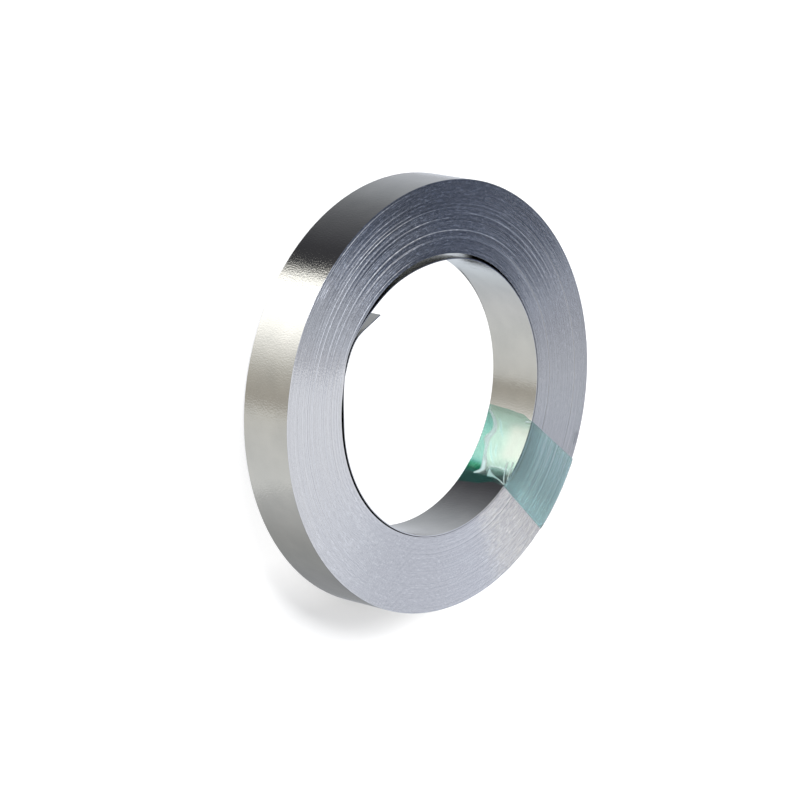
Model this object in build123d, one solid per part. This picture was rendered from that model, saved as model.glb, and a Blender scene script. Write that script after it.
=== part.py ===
from build123d import *
import math
import os

# A coil of nickel strip, wound flat and held by one band of green film.
# Lengths are in millimetres and angles in degrees.
# The coil lies on one end at z = 0, with its axis along Z.
# Angles about the axis start at +X and turn towards +Y.

# The wound strip
outer_diameter = 58.0
bore_diameter = 37.0
strip_width = 8.0
strip_thickness = 0.15
strip_length = 10000.0
turn_valley = 0.04

# The innermost turn, part of which has sprung away from the coil.
# Between these two angles it still lies against the coil at the bore's radius.
seat_from = 250.0
seat_to = 425.0
root_swell = 1.05
tail_swell = 0.12
crown_swell = -0.20
return_swell = 1.25
turn_steps = 16

# The free inner end, which stands off the wall into the bore
tab_root_angle = 148.0
tab_length = 5.2
tab_rise = 27.0
tab_notch = 4.4

# The two slots between the innermost turn and the rest of the coil
upper_gap = 0.66
upper_gap_middle = 458.0
upper_gap_reach = 44.0
lower_gap = 0.28
lower_gap_middle = 207.0
lower_gap_reach = 38.0
gap_end = 0.03
gap_steps = 12

# The film band, wrapped once round the ring's section
film_thickness = 0.06
film_angle = -36.1
film_skew = -5.0
film_width_at_rim = 10.9
film_width_at_bore = 9.8

outer_radius = outer_diameter / 2
bore_radius = bore_diameter / 2
mean_turn = math.pi * (outer_radius + bore_radius)
turn_count = round(strip_length / mean_turn)
turn_pitch = (outer_radius - bore_radius) / turn_count
cut_margin = 1.0
cut_depth = strip_width + 2 * cut_margin

# Off its seat the innermost turn's inner face swells outwards or inwards.
# Each row is a height, the angle at its middle and its reach to each side.
swells = [
    (root_swell, 152.0, 30.0),
    (tail_swell, 200.0, 50.0),
    (crown_swell, 455.0, 30.0),
    (return_swell, 545.0, 90.0),
]


def polar(angle, radius):
    """A point in the plane across the coil's axis."""
    return Vector(radius * math.cos(math.radians(angle)), radius * math.sin(math.radians(angle)))


def along(angle):
    """A unit step in the direction of an angle."""
    return polar(angle, 1.0)


def swell(angle, height, middle, reach):
    """One smooth rise and fall, nothing beyond its reach."""
    offset = abs(angle - middle)
    return height * (1 + math.cos(math.pi * offset / reach)) / 2 if offset < reach else 0.0


def inner_radius(angle):
    """The radius of the innermost turn's inner face."""
    return bore_radius + sum(swell(angle, *one) for one in swells)


def inner_face(start, stop):
    """Points along the innermost turn's inner face."""
    span = stop - start
    angles = [start + span * step / turn_steps for step in range(turn_steps + 1)]
    return [polar(angle, inner_radius(angle)) for angle in angles]


def tab_points():
    """The free end's corners: inner root, inner tip, outer tip and the notch behind it."""
    root = polar(tab_root_angle, inner_radius(tab_root_angle))
    tip = root + along(tab_rise) * tab_length
    tip_back = tip + along(tab_rise + 90) * strip_thickness
    notch = tip_back - along(tab_rise) * tab_notch
    return root, tip, tip_back, notch


def opening_face():
    """The clear space inside the innermost turn, with the free end standing into it."""
    root, tip, tip_back, notch = tab_points()
    notch_angle = 360 + math.degrees(math.atan2(notch.Y, notch.X))
    edges = [
        Line(tip, root),
        Spline(*inner_face(tab_root_angle, seat_from)),
        CenterArc((0, 0), bore_radius, seat_from, seat_to - seat_from),
        Spline(*inner_face(seat_to, notch_angle)[:-1], notch),
        Line(notch, tip_back),
        Line(tip_back, tip),
    ]
    return make_face(Wire(edges))


def gap_face(middle, reach, width):
    """A slot that opens and closes smoothly between the innermost turn and the coil."""
    inside = []
    outside = []
    for step in range(gap_steps + 1):
        angle = middle - reach + 2 * reach * step / gap_steps
        floor = inner_radius(angle) + strip_thickness
        opened = gap_end + swell(angle, width - gap_end, middle, reach)
        inside.append(polar(angle, floor))
        outside.append(polar(angle, floor + opened))
    ends = [Line(inside[0], outside[0]), Line(outside[-1], inside[-1])]
    return make_face(Wire([Spline(*inside), Spline(*outside)] + ends))


def outermost_lift():
    """How far the loose stretches reach outside the bore's radius."""
    root_to_seat = inner_face(tab_root_angle, seat_from)
    seat_to_end = inner_face(seat_to, tab_root_angle + 360)
    reach = max(point.length for point in root_to_seat + seat_to_end)
    return reach + strip_thickness - bore_radius


def wound_blank():
    """The turned ring, whose ends show one low ridge for each turn outside the loose ones.

    Its seam is where the strip's outer end lies, under the film.
    """
    plain_turns = math.ceil(outermost_lift() / turn_pitch) + 1
    half = strip_width / 2
    upper = [(bore_radius / 2, half), (bore_radius + plain_turns * turn_pitch, half)]
    for turn in range(plain_turns, turn_count):
        foot = bore_radius + turn * turn_pitch
        upper.append((foot + turn_pitch / 2, half))
        upper.append((foot + turn_pitch, half - turn_valley))
    lower = [(radius, -height) for radius, height in reversed(upper)]
    corners = [(radius, 0, height) for radius, height in upper + lower]
    profile = make_face(Polyline(*corners, close=True))
    return Rot(0, 0, film_angle) * revolve(profile, Axis.Z)


def strip_solid():
    """The whole strip as one solid."""
    cuts = [
        opening_face(),
        gap_face(upper_gap_middle, upper_gap_reach, upper_gap),
        gap_face(lower_gap_middle, lower_gap_reach, lower_gap),
    ]
    solid = wound_blank()
    for face in cuts:
        solid -= extrude(face, cut_depth / 2, both=True)
    return solid


def ring(outside, inside, width):
    """A plain ring about the coil's axis."""
    return Cylinder(outside, width) - Cylinder(inside, width + 2 * cut_margin)


def film_outline():
    """The band's straight sides, which draw in slightly towards the bore."""
    middle = polar(film_angle, (outer_radius + bore_radius) / 2)
    run = along(film_angle + film_skew)
    side = along(film_angle + film_skew + 90)
    half_run = outer_radius - bore_radius
    taper = (film_width_at_rim - film_width_at_bore) / (outer_radius - bore_radius)
    middle_width = (film_width_at_rim + film_width_at_bore) / 2
    corners = []
    for end, hand in [(-1, -1), (1, -1), (1, 1), (-1, 1)]:
        half_width = (middle_width + end * half_run * taper) / 2
        corners.append(middle + run * end * half_run + side * hand * half_width)
    return make_face(Polyline(*corners, close=True))


def film_solid():
    """The film band that goes through the bore and round the rim."""
    lap = film_thickness
    skin = ring(outer_radius + lap, bore_radius - lap, strip_width + 2 * lap)
    skin -= ring(outer_radius, bore_radius, strip_width)
    return skin & extrude(film_outline(), cut_depth / 2, both=True)


def main():
    os.makedirs("parts", exist_ok=True)
    lie = Pos(0, 0, strip_width / 2 + film_thickness)
    pieces = {"nickel_strip": strip_solid(), "binding_film": film_solid()}
    for name, shape in pieces.items():
        export_step(lie * shape, f"parts/{name}.step")
        print(name, "volume", round(shape.volume, 2), "faces", len(shape.faces()))
    print("turns", turn_count, "pitch", round(turn_pitch, 4))


main()
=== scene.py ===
import bpy
import math
import numpy as np
from mathutils import Matrix, Vector


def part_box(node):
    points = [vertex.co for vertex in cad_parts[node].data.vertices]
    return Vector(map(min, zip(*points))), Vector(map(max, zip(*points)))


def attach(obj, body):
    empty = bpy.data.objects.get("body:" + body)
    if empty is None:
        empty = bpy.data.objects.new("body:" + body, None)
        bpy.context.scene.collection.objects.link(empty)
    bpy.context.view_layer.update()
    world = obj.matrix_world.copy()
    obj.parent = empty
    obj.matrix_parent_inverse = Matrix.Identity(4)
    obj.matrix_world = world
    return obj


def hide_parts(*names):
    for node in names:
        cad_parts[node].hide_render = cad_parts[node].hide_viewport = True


# A coil of nickel strip that lies on its end, held by one band of green film.
# Lengths are in millimetres until a mesh is made, and angles in degrees.
# Angles about the coil's axis start at +X and turn towards +Y.
# The photograph's right is +X, its top is +Y and the end that it shows faces +Z.
MM = 0.001
SEED = 8

# The wound strip
OUTER_RADIUS = 29.0
BORE_RADIUS = 18.5
STRIP_WIDTH = 8.0
STRIP_THICKNESS = 0.15
TURNS = 66.489
STEPS_PER_TURN = 144
EDGE_BEVEL = 0.014
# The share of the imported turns' pitch that the strip fills
STRIP_FILL = 0.955

# The outermost turn's edge is worn on the left: angles, and the share of its wear there
OUTERMOST_BEVEL = 0.125
WORN_ANGLES = [0.0, 128.0, 168.0, 262.0, 285.0, 360.0]
WORN_SHARES = [0.0, 0.0, 1.0, 1.0, 0.0, 0.0]

# The innermost turn's inner face: height, middle angle and reach of each swell
LOOSE_SWELLS = [(1.05, 152.0, 30.0), (0.12, 200.0, 50.0), (-0.20, 455.0, 30.0), (1.25, 545.0, 90.0)]
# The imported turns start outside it: their radius, and the angle that their swells are counted from
PACKED_START = 18.65
PACKED_FROM = 20.0
PACKED_SWELLS = [(0.72, 140.0, 105.0), (0.24, 220.0, 46.0), (0.14, 62.0, 30.0)]
ROOT_SWELL = (0.40, 154.0, 16.0)
ROOT_SWELL_TURNS = 6.0
JOIN_FROM = 492.0
JOIN_TO = 512.0

# The free inner end, with its bend rounded by a few passes over a few steps to each side
TAB_ROOT_ANGLE = 148.0
TAB_LENGTH = 5.2
TAB_RISE = 27.0
TAB_STEPS = 14
BEND_STEPS = 5
BEND_PASSES = 12

# How far the turns rise and sink: knots a turn and height of a plain wander and of single peaks
RISE_WANDER = (2.5, 0.005)
RISE_PEAKS = (3.0, 0.003)
# Waves across the turns: their height, and then turns in each, lobes round the coil and shift
RISE_WAVES = 0.008
WAVES = [(3.3, 1, 0.4), (5.2, 2, 2.1), (8.7, 1, 4.0), (13.5, 2, 1.3)]
# The most that a turn rises or sinks, and how far they all stand lower
RISE_LIMIT = 0.04
RISE_DROP = 0.02

# The slit edges lean a little outwards, unevenly: knots a turn and spread of each wander
EDGE_LEAN = 10.0
LEAN_WANDERS = [(1.7, 1.3), (14.0, 1.1), (70.0, 0.5)]
LEAN_LIMITS = (1, 20)
# Some turns lean otherwise: the turn's number, and how much more it leans
ODD_TURNS = [(65.1, 2.2), (63.8, -2.6), (62.7, 1.8), (60.2, -1.8), (57.4, 1.8), (55.8, -1.6), (52.3, -2.4),
             (50.1, 1.8), (47.8, -3.2), (46.8, 2.0), (44.8, -4.4), (43.5, 2.4), (41.9, -4.6), (39.4, 2.4),
             (36.9, -4.2), (35.2, 2.0), (32.8, -3.0), (30.6, 2.2), (27.8, -3.4), (26.7, 1.6), (24.8, -2.6),
             (22.0, -4.4), (20.4, 1.8), (18.3, -1.6), (14.9, -4.0), (13.4, 2.0), (9.8, -1.8), (4.9, -2.6)]
# The share of it that counts, and knots a turn and spread of what wanders about that share
ODD_SHARE = 0.85
ODD_WANDER = (14.0, 0.4)
# Small nicks in the edges: where along the winding, and how much they turn the edge
NICKS = [(56.984, -7.0), (57.982, -8.0), (59.986, -7.0), (60.981, -9.0), (61.985, -8.0), (62.983, -6.0),
         (58.532, 6.0), (59.530, 8.0), (60.532, 9.0), (61.531, 10.0), (62.530, 10.0), (63.532, 10.0),
         (64.531, 9.0), (65.530, 7.0)]
NICK_REACH = 0.010
# How strongly the edges differ from turn to turn, round the coil: angles and strengths
UNEVEN_ANGLES = [0.0, 60.0, 92.0, 112.0, 128.0, 150.0, 163.0, 174.0, 285.0, 296.0, 312.0, 330.0, 360.0]
UNEVEN_STRENGTHS = [0.4, 0.5, 0.55, 0.95, 1.1, 0.75, 0.45, 0.3, 0.45, 0.65, 0.65, 0.4, 0.4]
ODD_STRENGTHS = [0.4, 0.45, 0.45, 0.9, 1.3, 1.6, 1.4, 0.25, 0.25, 0.25, 0.25, 0.4, 0.4]

# The film band: the angles of its two sides at the rim, and in the bore at these depths
FILM_AT_RIM = (-47.8, -26.2)
FILM_DEPTHS = [0.0, 2.0, 5.0, 8.0]
FILM_LOW_SIDE = [-49.9, -49.0, -51.3, -51.9]
FILM_HIGH_SIDE = [-19.1, -17.0, -16.1, -15.6]
FILM_THICKNESS = 0.03
# At each side the film thins out over this share of its width
FILM_THINNING = 0.08
# How far it lies off the metal
FILM_LIFT = 0.005
FILM_ROWS = 200
FLAT_STEPS = 30
DEPTH_STEPS = 100
FILM_SHARP_ANGLE = 120

# The film's crease inside the bore: angle, depth and half width along it
CREASE = [(-46.4, 6.1, 0.10), (-45.3, 5.4, 0.24), (-44.0, 5.10, 0.32), (-42.2, 5.3, 0.28),
          (-40.5, 5.5, 0.27), (-38.0, 5.90, 0.22), (-35.5, 6.20, 0.20), (-33.0, 6.40, 0.23),
          (-31.0, 6.65, 0.34), (-29.8, 6.90, 0.30), (-28.2, 6.35, 0.30), (-26.0, 6.05, 0.30),
          (-24.0, 6.10, 0.26), (-22.0, 6.45, 0.20), (-20.0, 7.05, 0.16), (-18.2, 7.70, 0.12)]
# Wrinkles beside it, painted white as a highlight, and greener folds
WRINKLES = [
    [(-49.2, 0.25, 0.04), (-47.8, 1.1, 0.05), (-46.9, 2.0, 0.06), (-46.4, 2.6, 0.08), (-46.1, 3.1, 0.20),
     (-45.8, 3.45, 0.28)],
    [(-46.6, 3.60, 0.10), (-45.0, 3.70, 0.20), (-43.4, 3.98, 0.06)],
    [(-48.9, 0.20, 0.04), (-45.8, 0.90, 0.06), (-42.5, 1.35, 0.07), (-39.0, 1.60, 0.09)],
    [(-46.5, 0.12, 0.04), (-42.5, 0.45, 0.06), (-38.5, 0.70, 0.08)],
    [(-19.7, 0.10, 0.08), (-19.9, 0.90, 0.10)]]
FOLDS = [
    [(-40.5, 3.90, 0.05), (-38.0, 4.70, 0.08), (-35.5, 5.30, 0.09), (-31.5, 5.85, 0.06)],
    [(-37.5, 4.00, 0.05), (-34.5, 4.55, 0.07), (-32.0, 4.70, 0.05)],
    [(-28.0, 4.20, 0.05), (-26.5, 4.75, 0.09), (-24.6, 5.00, 0.10), (-22.8, 5.25, 0.07),
     (-21.0, 5.70, 0.06)]]
# How far the film stands off the wall there, in a ridge this many times as wide as the crease
CREASE_SPREAD = 2.6
CREASE_RISE = 0.02
WRINKLE_RISE = 0.015
# The film's low waves between them
FILM_WAVE_RISE = 0.006
# How green the film is on the ring's ends and rim, and how much less at its high side
END_GREEN = 0.53
END_GREEN_FALL = 0.07
# How green it is in the bore and along the crease
BORE_GREEN = 0.44
CREASE_GREEN = 0.465
# How much paler it is in the middle, a painted highlight, and how much greener in the other places; the
# wedge's deeper green is painted shade
CORE_HIGHLIGHT = 0.25
PAST_GREENER = 0.26
LEFT_GREENER = 0.44
WEDGE_SHADE = 0.17
FOLD_GREENER = 0.12
# Two places past the crease are greener still: how much, angle and reach
GREENEST = [(0.34, -43.5, 2.8), (0.06, -24, 3)]
# How strongly the crease is painted white as a highlight, how much more at its left end, and the wrinkles
CREASE_HIGHLIGHT = 0.30
CREASE_HIGHLIGHT_LEFT = 0.50
WRINKLE_HIGHLIGHT = 0.8
# The radii between which the film's shade over the ring's ends changes
SHADE_RADII = (18.0, 24.0)

# The studio's edges are soft: each pair says where a share is 0 and where it is 1
# Where the lower room passes into the upper one, by the direction's Z
ROOM_EDGE = (-0.25, 0.05)
# The lower room's tones, by the share of a turn from +X
LOWER_ROOM = [
    (0.000, (0.66, 0.68, 0.74)), (0.064, (0.55, 0.575, 0.62)), (0.130, (0.43, 0.45, 0.485)),
    (0.200, (0.205, 0.21, 0.23)), (0.264, (0.072, 0.072, 0.082)), (0.306, (0.078, 0.078, 0.083)),
    (0.320, (1.9, 1.88, 1.80)), (0.395, (1.8, 1.78, 1.72)), (0.430, (1.08, 1.07, 1.03)),
    (0.470, (0.60, 0.58, 0.53)), (0.515, (0.46, 0.43, 0.38)), (0.523, (0.75, 0.74, 0.70)),
    (0.560, (0.77, 0.77, 0.755)), (0.640, (0.81, 0.82, 0.82)), (0.700, (0.78, 0.79, 0.81)),
    (0.770, (0.67, 0.70, 0.745)), (0.800, (0.67, 0.715, 0.77)), (0.860, (0.80, 0.865, 0.95)),
    (0.950, (0.70, 0.74, 0.81))]
# The most light from nearer the horizon, so that the rim isn't washed out from other sides
SOFTER_LIGHT = (1.20, 1.19, 1.16)
HORIZON_EDGE = (-0.62, -0.46)
# A hot strip in the tall light, by the same share of a turn and by Z plus 1
GLINT_SIDES = [(0.32, 0.0), (0.34, 1.0), (0.38, 1.0), (0.40, 0.0)]
GLINT_LEVELS = [(0.58, 0.0), (0.64, 9.0), (0.84, 9.0), (0.90, 0.0)]
# The upper room's tones, by the downward slope from this corner to the direction's X and Y
FAN_CORNER = (-0.817, 0.4585)
UPPER_ROOM = [
    (0.030, (0.27, 0.30, 0.355)), (0.130, (0.055, 0.066, 0.094)), (0.200, (0.055, 0.066, 0.094)),
    (0.250, (0.088, 0.104, 0.146)), (0.280, (0.140, 0.164, 0.219)), (0.288, (0.156, 0.181, 0.242)),
    (0.303, (0.240, 0.275, 0.348)), (0.328, (0.575, 0.615, 0.69)), (0.344, (0.52, 0.54, 0.595)),
    (0.363, (0.66, 0.68, 0.72)), (0.388, (0.74, 0.757, 0.79)), (0.406, (0.73, 0.757, 0.795)),
    (0.437, (0.79, 0.815, 0.857)), (0.455, (0.75, 0.75, 0.77)), (0.475, (0.82, 0.82, 0.835)),
    (0.500, (0.93, 0.935, 0.965)), (0.520, (0.94, 0.955, 1.0))]
# How they change with the direction's X, and the tones that take their place at the left
SIDE_TONES = [
    (0.43, (0.93, 0.92, 0.905)), (0.48, (0.93, 0.93, 0.925)), (0.515, (0.965, 0.965, 0.965)),
    (0.56, (0.975, 0.97, 0.975)), (0.60, (0.97, 0.97, 0.975)), (0.65, (0.98, 0.98, 0.985)),
    (0.695, (1.0, 1.0, 1.005)), (0.74, (1.03, 1.035, 1.05)), (0.78, (1.06, 1.065, 1.08)),
    (0.813, (1.10, 1.10, 1.10)), (0.83, (1.04, 1.04, 1.04)), (0.85, (0.89, 0.89, 0.90)),
    (0.866, (0.835, 0.835, 0.845)), (0.935, (0.84, 0.835, 0.825)), (0.965, (0.30, 0.30, 0.32))]
LEFT_TONES = [
    (0.43, (1.13, 1.125, 1.12)), (0.447, (1.11, 1.115, 1.13)), (0.472, (1.08, 1.09, 1.12)),
    (0.51, (1.08, 1.09, 1.125)), (0.55, (0.965, 0.985, 1.025)), (0.60, (0.905, 0.92, 0.965))]
# They lie below a sloping edge, and left of an upright one
LEFT_SLOPE = 0.299
LEFT_EDGE = (-0.003, -0.008)
LEFT_END = (0.62, 0.55)
# A warmer strip between two sloping edges
WARM_SLOPE = 0.403
WARM_TONE = (1.06, 1.03, 0.97)
WARM_EDGES = [(0.616, 0.623), (0.73, 0.70)]
# A brighter spot in the room: direction, and distance from it
BRIGHT_SPOT = (0.64, -0.15, 0.75)
BRIGHT_TONE = (1.65, 1.65, 1.65)
BRIGHT_EDGE = (0.085, 0.05)
# The least tone of the room's far side, by the direction's X
FAR_TONE = (0.33, 0.36, 0.42)
FAR_EDGE = (0.16, -0.12)

# The floor, and the share of its white glow that the camera sees, a painted light: in the bore, in the
# coil's shadow towards -Y, and how much more elsewhere, which washes the shadow out there
FLOOR_REACH = 3000.0
FLOOR_GLOW = 1.4
BORE_GLOW = 0.68
SHADOW_GLOW = 0.05
MORE_GLOW = 0.40
# Up to the first Y the floor glows as in the shadow, and from the second on as elsewhere
SHADOW_END = (-27.5, -19.0)

# The dark cards below the slots beside the innermost turn: painted shade that only the metal's reflections
# show
DARK_CARD_RADII = (18.2, 19.8)
DARK_CARD_LEVEL = -0.3
DARK_CARD_STEPS = 50
DARK_CARD_FADE = 9
# The place across a card's width where it starts to fade out
CARD_END = 0.85

# The soft lamp, in metres and watts
LAMP_PLACE = (0.22, 0.31, 0.52)
LAMP_SIZE = (0.6, 0.35)
LAMP_POWER = 5.6

# The camera, as the photograph was taken, with its nearest and farthest view in metres
CAMERA_SWING = 46.34
CAMERA_DIP = 12.49
CAMERA_DISTANCE = 503.1
CAMERA_RIGHT = 2.87
CAMERA_UP = 0.95
PHOTO_WIDTH = 800
FOCAL_PIXELS = 3800.0
SENSOR = 36.0
CAMERA_CLIP = (0.01, 20)

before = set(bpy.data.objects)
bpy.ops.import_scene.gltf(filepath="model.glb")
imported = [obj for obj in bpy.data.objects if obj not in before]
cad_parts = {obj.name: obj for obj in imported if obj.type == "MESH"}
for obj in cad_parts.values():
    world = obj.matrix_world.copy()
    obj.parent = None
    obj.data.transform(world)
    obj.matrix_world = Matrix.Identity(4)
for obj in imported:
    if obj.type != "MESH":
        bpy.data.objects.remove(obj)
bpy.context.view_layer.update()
strip_low, strip_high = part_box("nickel_strip")
MIDDLE = (strip_low.z + strip_high.z) / 2 / MM
rng = np.random.default_rng(SEED)


def swell(angle, height, middle, reach):
    """One smooth rise and fall, nothing beyond its reach."""
    offset = np.minimum(np.abs(angle - middle), reach)
    return height * (1 + np.cos(math.pi * offset / reach)) / 2


def polar(angle, radius):
    """Points in the plane across the coil's axis."""
    turned = np.radians(angle)
    return np.stack([radius * np.cos(turned), radius * np.sin(turned)], axis=-1)


def smooth_step(value):
    """0 below 0, 1 above 1 and a smooth rise between."""
    held = np.clip(value, 0, 1)
    return held * held * (3 - 2 * held)


def step_from(value, start, reach):
    """A smooth rise from 0 at the start to 1 at the reach beyond it, on either side."""
    return smooth_step((value - start) / reach)


def through(value, places, heights):
    """A smooth curve through a few points."""
    places = np.array(places)
    heights = np.array(heights)
    index = np.clip(np.searchsorted(places, value) - 1, 0, len(places) - 2)
    part = smooth_step((value - places[index]) / (places[index + 1] - places[index]))
    return heights[index] * (1 - part) + heights[index + 1] * part


def loose_radius(angle):
    """The inner face of the innermost turn."""
    return BORE_RADIUS + sum(swell(angle, *one) for one in LOOSE_SWELLS)


def packed_radius(angle):
    """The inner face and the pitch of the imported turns."""
    turn = (angle - TAB_ROOT_ANGLE) / 360
    around = (angle - PACKED_FROM) % 360 + PACKED_FROM
    start = PACKED_START + sum(swell(around, *one) for one in PACKED_SWELLS)
    last = OUTER_RADIUS - STRIP_THICKNESS
    pitch = (last - start) / (TURNS - 1)
    root = swell(around, *ROOT_SWELL) * np.exp(-np.maximum(turn - 1, 0) / ROOT_SWELL_TURNS)
    return start + root + (turn - 1) * pitch, pitch


def strip_path():
    """The strip's inner face from its free end to its outer end, with thickness and turn number."""
    count = round(TURNS * STEPS_PER_TURN)
    angle = TAB_ROOT_ANGLE + np.arange(count + 1) * 360 / STEPS_PER_TURN
    packed, pitch = packed_radius(angle)
    joined = smooth_step((angle - JOIN_FROM) / (JOIN_TO - JOIN_FROM))
    radius = loose_radius(angle) * (1 - joined) + packed * joined
    thickness = STRIP_THICKNESS * (1 - joined) + pitch * STRIP_FILL * joined
    wound = polar(angle, radius)
    reach = np.linspace(1, 0, TAB_STEPS, endpoint=False)[:, None] * TAB_LENGTH
    tab = wound[0] + polar(TAB_RISE, 1.0) * reach
    points = np.concatenate([tab, wound])
    first = TAB_STEPS - BEND_STEPS
    last = TAB_STEPS + BEND_STEPS
    for _ in range(BEND_PASSES):
        middle = (points[:-2] + 2 * points[1:-1] + points[2:]) / 4
        points[first:last + 1] = middle[first - 1:last]
    thickness = np.concatenate([np.full(TAB_STEPS, STRIP_THICKNESS), thickness])
    tab_turns = -reach[:, 0] / (2 * math.pi * BORE_RADIUS)
    turn = np.concatenate([tab_turns, (angle - TAB_ROOT_ANGLE) / 360])
    return points, thickness, turn


def wander(turn, knots_per_turn, spread):
    """A smooth random value along the strip."""
    first = math.floor(turn[0] * knots_per_turn) - 1
    last = math.ceil(turn[-1] * knots_per_turn) + 1
    knots = rng.normal(0, spread, last - first + 1)
    place = turn * knots_per_turn - first
    low = np.floor(place).astype(int)
    part = smooth_step(place - low)
    return knots[low] * (1 - part) + knots[low + 1] * part


def waves(turn, height):
    """Groups of neighbouring turns that rise and sink together."""
    total = np.zeros_like(turn)
    for period, lobes, shift in WAVES:
        total += np.cos(2 * math.pi * (turn / period + lobes * turn) + shift)
    return total * height / len(WAVES)


def strip_sections(thickness, turn):
    """Corners of each cross section: distance outwards from the inner face, and height."""
    half = STRIP_WIDTH / 2
    around = (TAB_ROOT_ANGLE + turn * 360) % 360
    worn = through(around, WORN_ANGLES, WORN_SHARES)
    bevel = EDGE_BEVEL + np.where(turn > TURNS - 1, OUTERMOST_BEVEL - EDGE_BEVEL, 0) * worn
    shift = wander(turn, *RISE_WANDER) + waves(turn, RISE_WAVES)
    peak_knots, peak_height = RISE_PEAKS
    shift += peak_height * wander(turn, peak_knots, 1.0) ** 3
    lift = np.clip(shift, -RISE_LIMIT, RISE_LIMIT)[:, None] - RISE_DROP
    zero = np.zeros_like(thickness)
    inner = zero + EDGE_BEVEL
    top = zero + half
    outwards = [zero, zero, inner, thickness - bevel, thickness, thickness, thickness - bevel, inner]
    heights = [inner - top, top - inner, top, top, top - bevel, bevel - top, -top, -top]
    return np.stack(outwards, 1), np.stack(heights, 1) + lift


def edge_lean(turn):
    """How far each slit edge faces outwards, in degrees."""
    uneven = sum(wander(turn, *one) for one in LEAN_WANDERS)
    around = (TAB_ROOT_ANGLE + turn * 360) % 360
    lean = EDGE_LEAN + uneven * through(around, UNEVEN_ANGLES, UNEVEN_STRENGTHS)
    odd = np.zeros_like(turn)
    for number, more in ODD_TURNS:
        # Full within 0.4 turns of the number, and nothing beyond 0.5
        near = smooth_step(5 - 10 * np.abs(turn - number))
        odd += more * near * (ODD_SHARE + wander(turn, *ODD_WANDER))
    lean += odd * through(around, UNEVEN_ANGLES, ODD_STRENGTHS)
    for place, more in NICKS:
        lean += more * smooth_step(1 - np.abs(turn - place) / NICK_REACH)
    return np.clip(lean, *LEAN_LIMITS)


def mesh_object(name, points, faces, materials, face_material=None, smooth=True):
    """A mesh made of millimetre points."""
    mesh = bpy.data.meshes.new(name)
    mesh.from_pydata((points * MM).tolist(), [], faces)
    for material in materials:
        mesh.materials.append(material)
    if face_material is not None:
        mesh.polygons.foreach_set("material_index", face_material)
    mesh.polygons.foreach_set("use_smooth", np.full(len(mesh.polygons), smooth))
    mesh.update()
    piece = bpy.data.objects.new(name, mesh)
    bpy.context.scene.collection.objects.link(piece)
    return piece


def add_tones(piece, name, values):
    """One value for each point of a piece, which its material reads."""
    tones = piece.data.attributes.new(name, "FLOAT", "POINT")
    tones.data.foreach_set("value", values.astype(np.float32))


def build_strip(materials):
    """The whole strip as one long ribbon wound on itself."""
    path, thickness, turn = strip_path()
    run = np.gradient(path, axis=0)
    run /= np.linalg.norm(run, axis=1)[:, None]
    outward = np.stack([run[:, 1], -run[:, 0]], 1)
    out, height = strip_sections(thickness, turn)
    flat = path[:, None, :] + outward[:, None, :] * out[:, :, None]
    points = np.concatenate([flat, height[:, :, None] + MIDDLE], 2).reshape(-1, 3)
    corners = out.shape[1]
    faces = []
    kinds = []
    for ring in range(len(path) - 1):
        base = ring * corners
        for corner in range(corners):
            after = (corner + 1) % corners
            faces.append((base + corner, base + after, base + corners + after, base + corners + corner))
            # The strip's flats start at corners 0 and 4, and the rest is slit edge
            kinds.append(0 if corner in (0, 4) else 1)
    last = (len(path) - 1) * corners
    faces.append(tuple(reversed(range(corners))))
    faces.append(tuple(last + corner for corner in range(corners)))
    kinds += [1, 1]
    piece = mesh_object("wound_nickel_strip", points, faces, materials, kinds)
    add_tones(piece, "turn", np.repeat(turn, corners))
    lean = np.radians(edge_lean(turn))[:, None]
    rise = np.array([0, 0, 1.0])
    outward = np.concatenate([outward, np.zeros((len(outward), 1))], 1)
    upper = outward * np.sin(lean) + rise * np.cos(lean)
    lower = outward * np.sin(lean) - rise * np.cos(lean)
    normals = [-outward, -outward, upper, upper, outward, outward, lower, lower]
    piece.data.normals_split_custom_set_from_vertices(np.stack(normals, 1).reshape(-1, 3).tolist())
    return piece


def empty_tree(owner):
    """The node tree of a material or a world, with nothing in it."""
    owner.use_nodes = True
    owner.node_tree.nodes.clear()
    return owner.node_tree


def node(tree, kind, values=None, **settings):
    """A new node with its settings and input values."""
    made = tree.nodes.new(kind)
    for key, value in settings.items():
        setattr(made, key, value)
    for key, value in (values or {}).items():
        made.inputs[key].default_value = value
    return made


def put_out(tree, shader, kind="ShaderNodeOutputMaterial"):
    """Sends a shader to the tree's output."""
    tree.links.new(shader.outputs[0], node(tree, kind).inputs["Surface"])


def painted(name):
    """A new material with a Principled shader: material, node tree and shader."""
    material = bpy.data.materials.new(name)
    tree = empty_tree(material)
    shader = node(tree, "ShaderNodeBsdfPrincipled")
    put_out(tree, shader)
    return material, tree, shader


def put_mix_out(tree, share, back, front):
    """Sends two shaders to the output, the front one by a share."""
    blend = node(tree, "ShaderNodeMixShader")
    tree.links.new(share, blend.inputs["Fac"])
    tree.links.new(back.outputs[0], blend.inputs[1])
    tree.links.new(front.outputs[0], blend.inputs[2])
    put_out(tree, blend)


def math_node(tree, operation, first, second=None, third=None):
    """A Math node whose inputs are sockets or numbers."""
    made = node(tree, "ShaderNodeMath", operation=operation)
    for index, value in enumerate([first, second, third]):
        if value is None:
            continue
        if isinstance(value, (int, float)):
            made.inputs[index].default_value = value
        else:
            tree.links.new(value, made.inputs[index])
    return made.outputs[0]


def vector_node(tree, operation, first, second=None):
    """A Vector Math node on a socket and, where it needs one, a plain vector."""
    made = node(tree, "ShaderNodeVectorMath", operation=operation)
    tree.links.new(first, made.inputs[0])
    if second is not None:
        made.inputs[1].default_value = second
    return made


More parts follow.
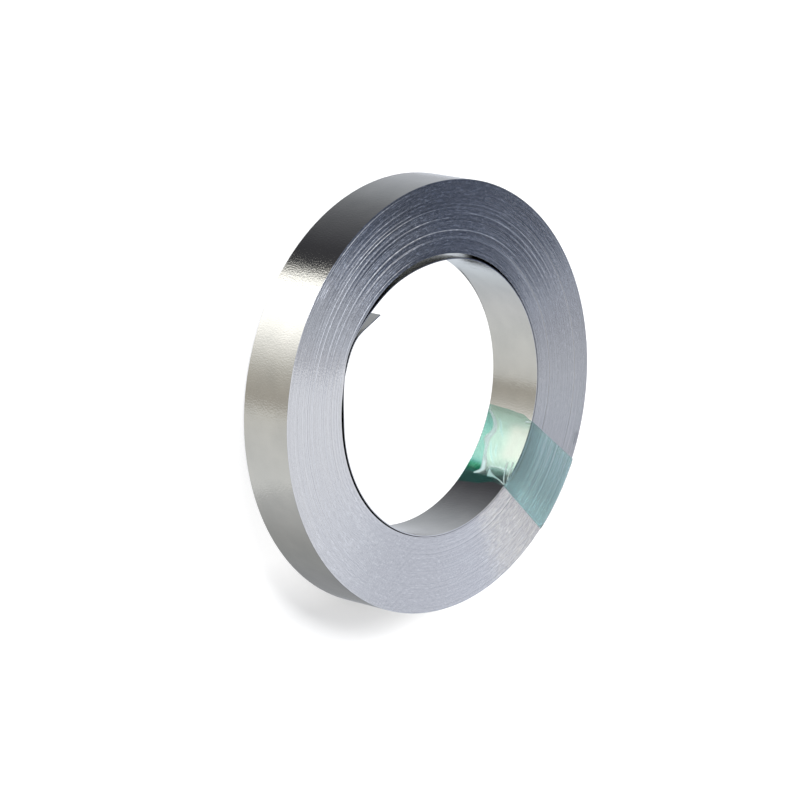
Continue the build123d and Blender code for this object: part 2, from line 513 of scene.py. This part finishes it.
def ramp(tree, source, stops):
    """A colour ramp with the given stops: place, and colour or plain grey."""
    made = node(tree, "ShaderNodeValToRGB")
    ladder = made.color_ramp
    ladder.elements.remove(ladder.elements[1])
    for index, (place, tone) in enumerate(stops):
        element = ladder.elements.new(place) if index else ladder.elements[0]
        element.position = place
        colour = tone if isinstance(tone, tuple) else (tone, tone, tone)
        element.color = (*colour, 1)
    tree.links.new(source, made.inputs["Fac"])
    return made.outputs["Color"]


def blended(tree, first, second, kind, share=1.0):
    """Two colours put together; the second one is a socket or a plain colour."""
    made = node(tree, "ShaderNodeMix", data_type="RGBA", blend_type=kind)
    tree.links.new(first, made.inputs["A"])
    if isinstance(second, tuple):
        made.inputs["B"].default_value = (*second, 1)
    else:
        tree.links.new(second, made.inputs["B"])
    if isinstance(share, float):
        made.inputs["Factor"].default_value = share
    else:
        tree.links.new(share, made.inputs["Factor"])
    return made.outputs["Result"]


def span(tree, value, nothing, full):
    """A share that runs from 0 to 1 between two values."""
    made = node(tree, "ShaderNodeMapRange", {"From Min": nothing, "From Max": full})
    tree.links.new(value, made.inputs["Value"])
    return made.outputs["Result"]


def between(tree, share, low, high):
    """The number that a share from 0 to 1 gives between two values."""
    made = node(tree, "ShaderNodeMapRange", {"To Min": low, "To Max": high})
    tree.links.new(share, made.inputs["Value"])
    return made.outputs["Result"]


def coordinates(tree, kind):
    """The place or direction that a shader is at."""
    return node(tree, "ShaderNodeTexCoord").outputs[kind]


def attribute(tree, name):
    """The values that add_tones gave a piece."""
    return node(tree, "ShaderNodeAttribute", attribute_name=name).outputs["Fac"]


def camera_ray(tree):
    """1 where the camera sees a surface itself, and 0 in reflections and light."""
    return node(tree, "ShaderNodeLightPath").outputs["Is Camera Ray"]


def noise(tree, place, scale, detail, roughness=0.5, dimensions="3D"):
    """A noise texture at a vector, or at one number where it has one dimension."""
    values = {"Scale": scale, "Detail": detail, "Roughness": roughness}
    made = node(tree, "ShaderNodeTexNoise", values, noise_dimensions=dimensions)
    tree.links.new(place, made.inputs["W" if dimensions == "1D" else "Vector"])
    return made.outputs["Fac"]


def put_bump(tree, shader, height, strength, distance):
    """Gives a shader a bumpy surface."""
    bump = node(tree, "ShaderNodeBump", {"Strength": strength, "Distance": distance})
    tree.links.new(height, bump.inputs["Height"])
    tree.links.new(bump.outputs["Normal"], shader.inputs["Normal"])


def rolled_nickel():
    """The flat of the strip: cold rolled, satin, with a fine grain."""
    material, tree, shader = painted("rolled_nickel")
    place = coordinates(tree, "Object")
    grain = noise(tree, place, scale=4600.0, detail=2.0, roughness=0.6)
    cloud = noise(tree, place, scale=260.0, detail=2.0)
    colour = ramp(tree, cloud, [(0.3, (0.60, 0.60, 0.58)), (0.7, (0.66, 0.655, 0.63))])
    tree.links.new(colour, shader.inputs["Base Color"])
    tree.links.new(between(tree, grain, low=0.07, high=0.11), shader.inputs["Roughness"])
    put_bump(tree, shader, grain, strength=0.6, distance=0.00003)
    shader.inputs["Metallic"].default_value = 1.0
    return material


def winding_noise(tree, turn, share, along, across, detail, roughness):
    """Noise drawn out along the winding: how fine it is along a turn and across the turns."""
    spot = node(tree, "ShaderNodeCombineXYZ")
    tree.links.new(math_node(tree, "MULTIPLY", share, along), spot.inputs["X"])
    tree.links.new(math_node(tree, "MULTIPLY", turn, across), spot.inputs["Y"])
    return noise(tree, spot.outputs["Vector"], scale=1.0, detail=detail, roughness=roughness)


def rubbed_patch(tree, turn, share):
    """Where the edges are rubbed pale in short dashes, next to the film's lower side."""
    dashes = winding_noise(tree, turn, share, along=110.0, across=2.7, detail=3.0, roughness=0.65)
    strength = ramp(tree, dashes, [(0.44, 0.0), (0.62, 0.65)])
    place = ramp(tree, share, [(0.803, 0.0), (0.815, 1.0), (0.875, 1.0), (0.89, 0.0)])
    return blended(tree, strength, place, "MULTIPLY")


def scratches(tree, turn, share):
    """Fine light and dark scratches along the edges, and how strong they are round the coil."""
    fine = winding_noise(tree, turn, share, along=170.0, across=2.3, detail=2.0, roughness=0.7)
    tones = ramp(tree, fine, [(0.32, 0.66), (0.45, 0.93), (0.55, 1.0), (0.67, 1.5)])
    strength = ramp(tree, share, [
        (0.0, 0.15), (0.13, 0.35), (0.22, 0.6), (0.30, 0.9), (0.37, 0.8), (0.42, 0.3), (0.47, 0.06),
        (0.55, 0.06), (0.60, 0.22), (0.66, 0.18), (0.79, 0.1), (0.815, 0.28), (0.875, 0.28), (0.90, 0.12)])
    return tones, strength


def slit_edge():
    """The cut edges of the turns, bluish, with streaks that follow the winding."""
    material, tree, shader = painted("slit_edge")
    turn = attribute(tree, "turn")
    share = math_node(tree, "FRACT", math_node(tree, "ADD", turn, TAB_ROOT_ANGLE / 360))
    streak = noise(tree, turn, scale=3.0, detail=4.0, roughness=0.75, dimensions="1D")
    colour = ramp(tree, streak, [(0.3, (0.585, 0.60, 0.645)), (0.7, (0.61, 0.625, 0.67))])
    colour = blended(tree, colour, (0.74, 0.74, 0.75), "MIX", rubbed_patch(tree, turn, share))
    tones, strength = scratches(tree, turn, share)
    colour = blended(tree, colour, tones, "MULTIPLY", strength)
    tree.links.new(colour, shader.inputs["Base Color"])
    tree.links.new(between(tree, streak, low=0.08, high=0.14), shader.inputs["Roughness"])
    grain = noise(tree, coordinates(tree, "Object"), scale=3600.0, detail=1.0)
    put_bump(tree, shader, grain, strength=0.3, distance=0.00002)
    shader.inputs["Metallic"].default_value = 1.0
    return material


def film_green():
    """The clear green film: greener where it is creased double, with light and dark lines painted in by
    radius for the turns' reflections seen through it.
    """
    material, tree, shader = painted("green_film")
    place = coordinates(tree, "Object")
    tint = ramp(tree, attribute(tree, "green"), [
        (0.0, (0.96, 0.965, 0.93)), (0.15, (0.83, 0.885, 0.86)), (0.44, (0.685, 0.835, 0.80)),
        (0.47, (0.82, 1.0, 1.0)), (0.53, (0.64, 0.81, 0.805)), (0.64, (0.55, 0.78, 0.74)),
        (0.8, (0.40, 0.70, 0.675)), (0.9, (0.28, 0.66, 0.60)), (1.0, (0.16, 0.63, 0.47))])
    flat = vector_node(tree, "MULTIPLY", place, (1, 1, 0)).outputs["Vector"]
    radius = vector_node(tree, "LENGTH", flat).outputs["Value"]
    # Painted light and shade: lines by radius that stand in for the turns' reflections seen through the
    # film
    lines = noise(tree, radius, scale=2900.0, detail=3.0, roughness=0.6, dimensions="1D")
    shade = ramp(tree, lines, [(0.39, (0.84, 0.88, 0.89)), (0.48, 0.99), (0.62, (1.09, 1.08, 1.07))])
    depth = ramp(tree, span(tree, radius, *[end * MM for end in SHADE_RADII]), [
        (0.08, 1.0), (0.11, 0.97), (0.18, (0.76, 0.79, 0.79)), (0.36, (0.78, 0.82, 0.82)),
        (0.55, (0.94, 0.96, 0.96)), (0.67, 1.0)])
    colour = blended(tree, blended(tree, depth, shade, "MULTIPLY"), tint, "MULTIPLY")
    tree.links.new(colour, shader.inputs["Base Color"])
    # Where the crease and wrinkles are painted white as a highlight, the film lets less through
    clear = between(tree, attribute(tree, "white"), low=0.97, high=0.15)
    tree.links.new(clear, shader.inputs["Transmission Weight"])
    haze = noise(tree, place, scale=900.0, detail=3.0)
    put_bump(tree, shader, haze, strength=0.2, distance=0.00003)
    shader.inputs["Roughness"].default_value = 0.05
    shader.inputs["IOR"].default_value = 1.38
    return material


def stroke(angle, depth, line):
    """How near each point in the bore is to a soft line of angle, depth and half width."""
    across = np.radians(angle) * BORE_RADIUS
    near = np.zeros_like(across)
    for (start, upper, before), (stop, lower, after) in zip(line[:-1], line[1:]):
        left = math.radians(start) * BORE_RADIUS
        run = math.radians(stop - start) * BORE_RADIUS
        fall = lower - upper
        part = ((across - left) * run + (depth - upper) * fall) / (run * run + fall * fall)
        part = np.clip(part, 0, 1)
        away = np.hypot(across - left - part * run, depth - upper - part * fall)
        # Full within 0.57 of the half width, and nothing beyond twice the half width
        near = np.maximum(near, smooth_step(1.4 - 0.7 * away / (before + (after - before) * part)))
    return near


def strokes(angle, depth, lines):
    """How near each point in the bore is to the nearest of several lines."""
    return np.max([stroke(angle, depth, line) for line in lines], axis=0)


def hill(value, height, middle, reach):
    """A soft hill that never quite ends."""
    return height * np.exp(-((value - middle) / reach) ** 2)


def film_height(angle, depth, wrinkle, fold):
    """How far the film stands off the bore's wall: at the crease, wrinkles and folds, and in low waves."""
    wide_crease = [(place, middle, CREASE_SPREAD * half) for place, middle, half in CREASE]
    ridge = stroke(angle, depth, wide_crease)
    height = CREASE_RISE * ridge + WRINKLE_RISE * wrinkle + WRINKLE_RISE * fold
    across = np.radians(angle) * BORE_RADIUS
    first = 1 + np.sin(2.3 * across + 1.1 * depth)
    second = 1 + np.sin(3.1 * depth - 1.7 * across)
    height += FILM_WAVE_RISE * first * second
    return height * step_from(depth, 0, 0.7) * step_from(depth, STRIP_WIDTH, -0.5)


def film_greenness(angle, depth, crease, fold):
    """How green the film is in the bore: pale in the middle as a painted highlight, deep past the crease
    and at the lower left.
    """
    # Painted highlight: the film's tint is paler in the middle of the bore
    highlight_core = step_from(angle, -41.0, 6) * step_from(angle, -19, -6) * step_from(depth, 4.6, -2.5)
    green = BORE_GREEN - CORE_HIGHLIGHT * highlight_core
    middle = through(np.clip(angle, -46.6, -18.2), [one[0] for one in CREASE], [one[1] for one in CREASE])
    past = step_from(depth, middle, 0.3) * step_from(angle, -47.0, 1.0)
    green += past * (PAST_GREENER + sum(hill(angle, *one) for one in GREENEST))
    left = step_from(angle, -46.0, -1.2) * step_from(depth, 1.0, 2)
    green += LEFT_GREENER * left * (1 - past)
    # Painted shade: a deeper, darker green in the wedge low in the bore, where the metal behind reflects
    # dark
    wedge = step_from(angle, -41.0, -3) * step_from(depth, 0.5, 0.8) * step_from(depth, 4.6, -0.8)
    green += WEDGE_SHADE * wedge * (1 - left)
    green += FOLD_GREENER * fold
    return np.clip(green * (1 - crease) + CREASE_GREEN * crease, 0, 1)


def film_in_bore(angle, depth):
    """How far the film stands off the bore's wall, how green it looks, and where it is painted white as a
    highlight.
    """
    crease = stroke(angle, depth, CREASE)
    wrinkle = strokes(angle, depth, WRINKLES)
    fold = strokes(angle, depth, FOLDS)
    # Painted highlight: the crease and the wrinkles are painted white
    crease_highlight = CREASE_HIGHLIGHT + CREASE_HIGHLIGHT_LEFT * step_from(angle, -37.5, -4)
    white = np.maximum(crease_highlight * crease, WRINKLE_HIGHLIGHT * wrinkle)
    return film_height(angle, depth, wrinkle, fold), film_greenness(angle, depth, crease, fold), white


def film_line(side):
    """One line of the film round the ring's section: points, ways off the metal, greenness and whiteness.

    The side runs from 0 to 1 across the band. The line begins at the bore, on the upper end.
    """
    at_rim = FILM_AT_RIM[0] + (FILM_AT_RIM[1] - FILM_AT_RIM[0]) * side
    depth = np.linspace(0, STRIP_WIDTH, DEPTH_STEPS + 1)
    at_bore = through(depth, FILM_DEPTHS, FILM_LOW_SIDE) * (1 - side)
    at_bore += through(depth, FILM_DEPTHS, FILM_HIGH_SIDE) * side
    height, green, white = film_in_bore(at_bore, depth)
    top = MIDDLE + STRIP_WIDTH / 2
    part = np.linspace(0, 1, FLAT_STEPS, endpoint=False)[:, None]
    rim = polar(at_rim, OUTER_RADIUS)
    near = polar(at_bore[0], BORE_RADIUS)
    far = polar(at_bore[-1], BORE_RADIUS)
    upper = np.hstack([near + (rim - near) * part, np.full_like(part, top)])
    outer = np.hstack([np.tile(rim, (FLAT_STEPS, 1)), top - STRIP_WIDTH * part])
    lower = np.hstack([rim + (far - rim) * part, np.full_like(part, top - STRIP_WIDTH)])
    wall = np.column_stack([polar(at_bore, BORE_RADIUS - height), top - depth])[::-1][:-1]
    points = np.concatenate([upper, outer, lower, wall])
    ways = [[0, 0, 1.0], [*polar(at_rim, 1.0), 0], [0, 0, -1.0]]
    inwards = np.column_stack([polar(at_bore, -1.0), np.zeros_like(depth)])[::-1][:-1]
    away = np.concatenate([np.tile(way, (FLAT_STEPS, 1)) for way in ways] + [inwards])
    for corner in range(4):
        away[corner * FLAT_STEPS] += away[corner * FLAT_STEPS - 1]
    ends_green = np.full(3 * FLAT_STEPS, END_GREEN - END_GREEN_FALL * side)
    green = np.concatenate([ends_green, green[::-1][:-1]])
    white = np.concatenate([np.zeros(3 * FLAT_STEPS), white[::-1][:-1]])
    return points, away, green, white


def build_film(material):
    """The film band as one thin closed sheet wrapped round the ring, thinner to nothing at its sides."""
    sides = np.linspace(0, 1, FILM_ROWS + 1)
    lines = [film_line(side) for side in sides]
    points, away, green, white = [np.array(part) for part in zip(*lines)]
    along = points.shape[1]
    thick = FILM_THICKNESS * smooth_step(np.minimum(sides, 1 - sides) / FILM_THINNING)[:, None, None]
    below = points + away * FILM_LIFT
    above = below + away * thick
    upper = np.arange((FILM_ROWS + 1) * along).reshape(-1, along)
    lower = upper + upper.size
    lower[0] = upper[0]
    lower[-1] = upper[-1]
    faces = []
    for row in range(FILM_ROWS):
        for step in range(along):
            after = (step + 1) % along
            faces.append([upper[row, step], upper[row, after], upper[row + 1, after], upper[row + 1, step]])
            faces.append([lower[row, step], lower[row + 1, step], lower[row + 1, after], lower[row, after]])
    used = np.unique(np.array(faces))
    renumber = np.zeros(2 * upper.size, int)
    renumber[used] = np.arange(len(used))
    both = np.concatenate([above.reshape(-1, 3), below.reshape(-1, 3)])[used]
    piece = mesh_object("green_binding_film", both, renumber[np.array(faces)].tolist(), [material])
    add_tones(piece, "green", np.tile(green.ravel(), 2)[used])
    add_tones(piece, "white", np.tile(white.ravel(), 2)[used])
    piece.data.set_sharp_from_angle(angle=math.radians(FILM_SHARP_ANGLE))
    return piece


def glint_added(tree, colour, share, z):
    """A hot strip in the tall light, low in the room, which the film's creases catch."""
    across = ramp(tree, share, GLINT_SIDES)
    upwards = ramp(tree, math_node(tree, "ADD", z, 1.0), GLINT_LEVELS)
    return blended(tree, colour, blended(tree, across, upwards, "MULTIPLY"), "ADD")


def lower_room(tree, share, z):
    """The pale table, the dark room and the tall light, as the rim and the bore reflect them."""
    tone = ramp(tree, share, LOWER_ROOM)
    return blended(tree, tone, SOFTER_LIGHT, "DARKEN", span(tree, z, *HORIZON_EDGE))


def upper_room(tree, direction, x, y):
    """The room above, as the turns' edges reflect it."""
    rise = math_node(tree, "SUBTRACT", y, FAN_CORNER[1])
    fan = math_node(tree, "DIVIDE", rise, math_node(tree, "ADD", x, -FAN_CORNER[0]))
    tone = ramp(tree, math_node(tree, "MULTIPLY", fan, -1.0), UPPER_ROOM)
    tone = blended(tree, tone, ramp(tree, x, SIDE_TONES), "MULTIPLY")
    left = math_node(tree, "MULTIPLY_ADD", x, LEFT_SLOPE, y)
    at_left = math_node(tree, "MULTIPLY", span(tree, left, *LEFT_EDGE), span(tree, x, *LEFT_END))
    tone = blended(tree, tone, ramp(tree, x, LEFT_TONES), "MIX", at_left)
    lower = math_node(tree, "MULTIPLY_ADD", y, WARM_SLOPE, x)
    warm = math_node(tree, "MULTIPLY", *[span(tree, lower, *edge) for edge in WARM_EDGES])
    tone = blended(tree, tone, WARM_TONE, "MULTIPLY", warm)
    away = vector_node(tree, "DISTANCE", direction, BRIGHT_SPOT).outputs["Value"]
    tone = blended(tree, tone, BRIGHT_TONE, "MULTIPLY", span(tree, away, *BRIGHT_EDGE))
    return blended(tree, tone, FAR_TONE, "LIGHTEN", span(tree, x, *FAR_EDGE))


def studio_world():
    """Soft studio surroundings: a pale table, a dark room and one tall soft light."""
    world = bpy.data.worlds.new("studio")
    bpy.context.scene.world = world
    tree = empty_tree(world)
    direction = coordinates(tree, "Generated")
    split = node(tree, "ShaderNodeSeparateXYZ")
    tree.links.new(direction, split.inputs[0])
    x, y, z = split.outputs
    turned = math_node(tree, "DIVIDE", math_node(tree, "ARCTAN2", y, x), 2 * math.pi)
    share = math_node(tree, "FRACT", math_node(tree, "ADD", turned, 1.0))
    below = lower_room(tree, share, z)
    above = upper_room(tree, direction, x, y)
    around = blended(tree, below, above, "MIX", span(tree, z, *ROOM_EDGE))
    seen = blended(tree, glint_added(tree, around, share, z), (1.0, 1.0, 1.0), "MIX", camera_ray(tree))
    shine = node(tree, "ShaderNodeBackground")
    tree.links.new(seen, shine.inputs["Color"])
    put_out(tree, shine, "ShaderNodeOutputWorld")


def build_floor():
    """A pale floor that glows white to the camera, a painted light that is strongest in the bore and beside
    the coil, so that its shadow shows only towards -Y.
    """
    far = FLOOR_REACH
    corners = np.array([[-far, -far, 0], [far, -far, 0], [far, far, 0], [-far, far, 0]])
    material = bpy.data.materials.new("pale_floor")
    tree = empty_tree(material)
    paint = node(tree, "ShaderNodeBsdfDiffuse", {"Color": (0.85, 0.85, 0.85, 1)})
    glow = node(tree, "ShaderNodeEmission", {"Color": (1, 1, 1, 1), "Strength": FLOOR_GLOW})
    place = coordinates(tree, "Object")
    radius = vector_node(tree, "LENGTH", place).outputs["Value"]
    split = node(tree, "ShaderNodeSeparateXYZ")
    tree.links.new(place, split.inputs[0])
    inside = span(tree, radius, OUTER_RADIUS * MM, BORE_RADIUS * MM)
    elsewhere = span(tree, split.outputs["Y"], *[end * MM for end in SHADOW_END])
    # Painted light: the glow is strongest in the bore and beside the coil, where it washes the coil's
    # shadow out
    in_bore = math_node(tree, "MULTIPLY", inside, BORE_GLOW)
    around = math_node(tree, "MULTIPLY_ADD", elsewhere, MORE_GLOW, SHADOW_GLOW)
    pale = math_node(tree, "MAXIMUM", in_bore, around)
    put_mix_out(tree, math_node(tree, "MULTIPLY", camera_ray(tree), pale), paint, glow)
    floor = mesh_object("floor", corners, [(0, 1, 2, 3)], [material], smooth=False)
    floor.visible_glossy = False
    floor.visible_transmission = False


def see_only_in_shine(piece):
    """Keeps a piece of the studio out of everything but the metal's reflections."""
    piece.visible_camera = False
    piece.visible_diffuse = False
    piece.visible_shadow = False
    piece.visible_transmission = False


def build_card(name, place, sides, levels, fade, stops, veil=False):
    """A card beside the rim, in a few tones across: paint, or a veil that dims what is behind it.

    It fades in between two shares of its width, and out at its right end.
    """
    left, right = sides
    bottom, top = levels
    corners = np.array([
        [left, place, bottom], [right, place, bottom], [right, place, top], [left, place, top]])
    material = bpy.data.materials.new(name)
    tree = empty_tree(material)
    split = node(tree, "ShaderNodeSeparateXYZ")
    tree.links.new(coordinates(tree, "Object"), split.inputs[0])
    share = span(tree, split.outputs["X"], left * MM, right * MM)
    front = node(tree, "ShaderNodeBsdfTransparent" if veil else "ShaderNodeEmission")
    tree.links.new(ramp(tree, share, stops), front.inputs["Color"])
    ends = math_node(tree, "MULTIPLY", span(tree, share, *fade), span(tree, share, 1.0, CARD_END))
    put_mix_out(tree, ends, node(tree, "ShaderNodeBsdfTransparent"), front)
    see_only_in_shine(mesh_object(name, corners, [(0, 1, 2, 3)], [material], smooth=False))


def build_slot_shade_card(name, start, stop):
    """A dark card below a slot beside the innermost turn: painted shade, so that the slot reads as deep."""
    steps = DARK_CARD_STEPS
    angle = np.linspace(start, stop, steps)
    points = np.concatenate([polar(angle, radius) for radius in DARK_CARD_RADII])
    points = np.column_stack([points, np.full(2 * steps, DARK_CARD_LEVEL)])
    faces = [(step, step + 1, step + steps + 1, step + steps) for step in range(steps - 1)]
    material = bpy.data.materials.new(name)
    tree = empty_tree(material)
    paint = node(tree, "ShaderNodeBsdfDiffuse", {"Color": (0.01, 0.01, 0.01, 1)})
    put_mix_out(tree, attribute(tree, "dark"), node(tree, "ShaderNodeBsdfTransparent"), paint)
    card = mesh_object(name, points, faces, [material], smooth=False)
    from_end = np.minimum(angle - start, stop - angle)
    add_tones(card, "dark", np.tile(smooth_step(from_end / DARK_CARD_FADE), 2))
    see_only_in_shine(card)


def build_cards():
    """A grey card below the rim, a painted shadow as of a dim table, a veil above it and the dark cards of
    painted shade.
    """
    build_slot_shade_card("lower_slot_shade_card", start=160, stop=262)
    build_slot_shade_card("upper_slot_shade_card", start=10, stop=54)
    # Painted shadow: a grey card that the rim reflects as a shaded table, darker towards its right end
    build_card("table_shadow_card", place=-29.3, sides=(-53, 0), levels=(-23, 5), fade=(0.0, 0.51), stops=[
        (0.34, (0.44, 0.445, 0.44)), (0.51, (0.42, 0.425, 0.425)), (0.62, (0.375, 0.385, 0.39)),
        (0.72, (0.335, 0.345, 0.36)), (0.81, (0.33, 0.34, 0.355))])
    build_card("veil", place=29.3, sides=(-26, 14), levels=(-12, 8), fade=(0.0, 0.15), veil=True, stops=[
        (0.20, 0.75), (0.42, 0.70), (0.49, 0.81), (0.56, 0.86), (0.63, 0.92), (0.73, 0.88)])


def build_light():
    """One soft lamp above the coil, towards the photograph's top right."""
    lamp = bpy.data.lights.new("soft_key", "AREA")
    lamp.shape = "RECTANGLE"
    lamp.size, lamp.size_y = LAMP_SIZE
    lamp.energy = LAMP_POWER
    holder = bpy.data.objects.new("soft_key", lamp)
    bpy.context.scene.collection.objects.link(holder)
    holder.location = Vector(LAMP_PLACE)
    holder.rotation_euler = holder.location.to_track_quat("Z", "Y").to_euler()
    holder.visible_camera = False
    holder.visible_glossy = False


def build_camera():
    """The photograph's camera, turned with the coil."""
    swing = math.radians(CAMERA_SWING)
    dip = math.radians(CAMERA_DIP)
    right = Vector((math.cos(swing), 0, math.sin(swing)))
    forward = Vector((math.sin(swing) * math.cos(dip), -math.sin(dip), -math.cos(swing) * math.cos(dip)))
    up = right.cross(forward)
    coil = Vector((0, 0, MIDDLE))
    place = coil - forward * CAMERA_DISTANCE - right * CAMERA_RIGHT - up * CAMERA_UP
    turned = Matrix((right, up, -forward)).transposed().to_4x4()
    lens = bpy.data.cameras.new("camera")
    lens.sensor_width = SENSOR
    lens.lens = SENSOR * FOCAL_PIXELS / PHOTO_WIDTH
    lens.clip_start, lens.clip_end = CAMERA_CLIP
    camera = bpy.data.objects.new("camera", lens)
    bpy.context.scene.collection.objects.link(camera)
    camera.matrix_world = Matrix.Translation(place * MM) @ turned
    bpy.context.scene.camera = camera


build_camera()
strip = build_strip([rolled_nickel(), slit_edge()])
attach(strip, "root")
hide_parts("nickel_strip")
film = build_film(film_green())
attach(film, "root")
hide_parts("binding_film")
studio_world()
build_floor()
build_cards()
build_light()
bpy.context.scene.view_settings.view_transform = "Standard"
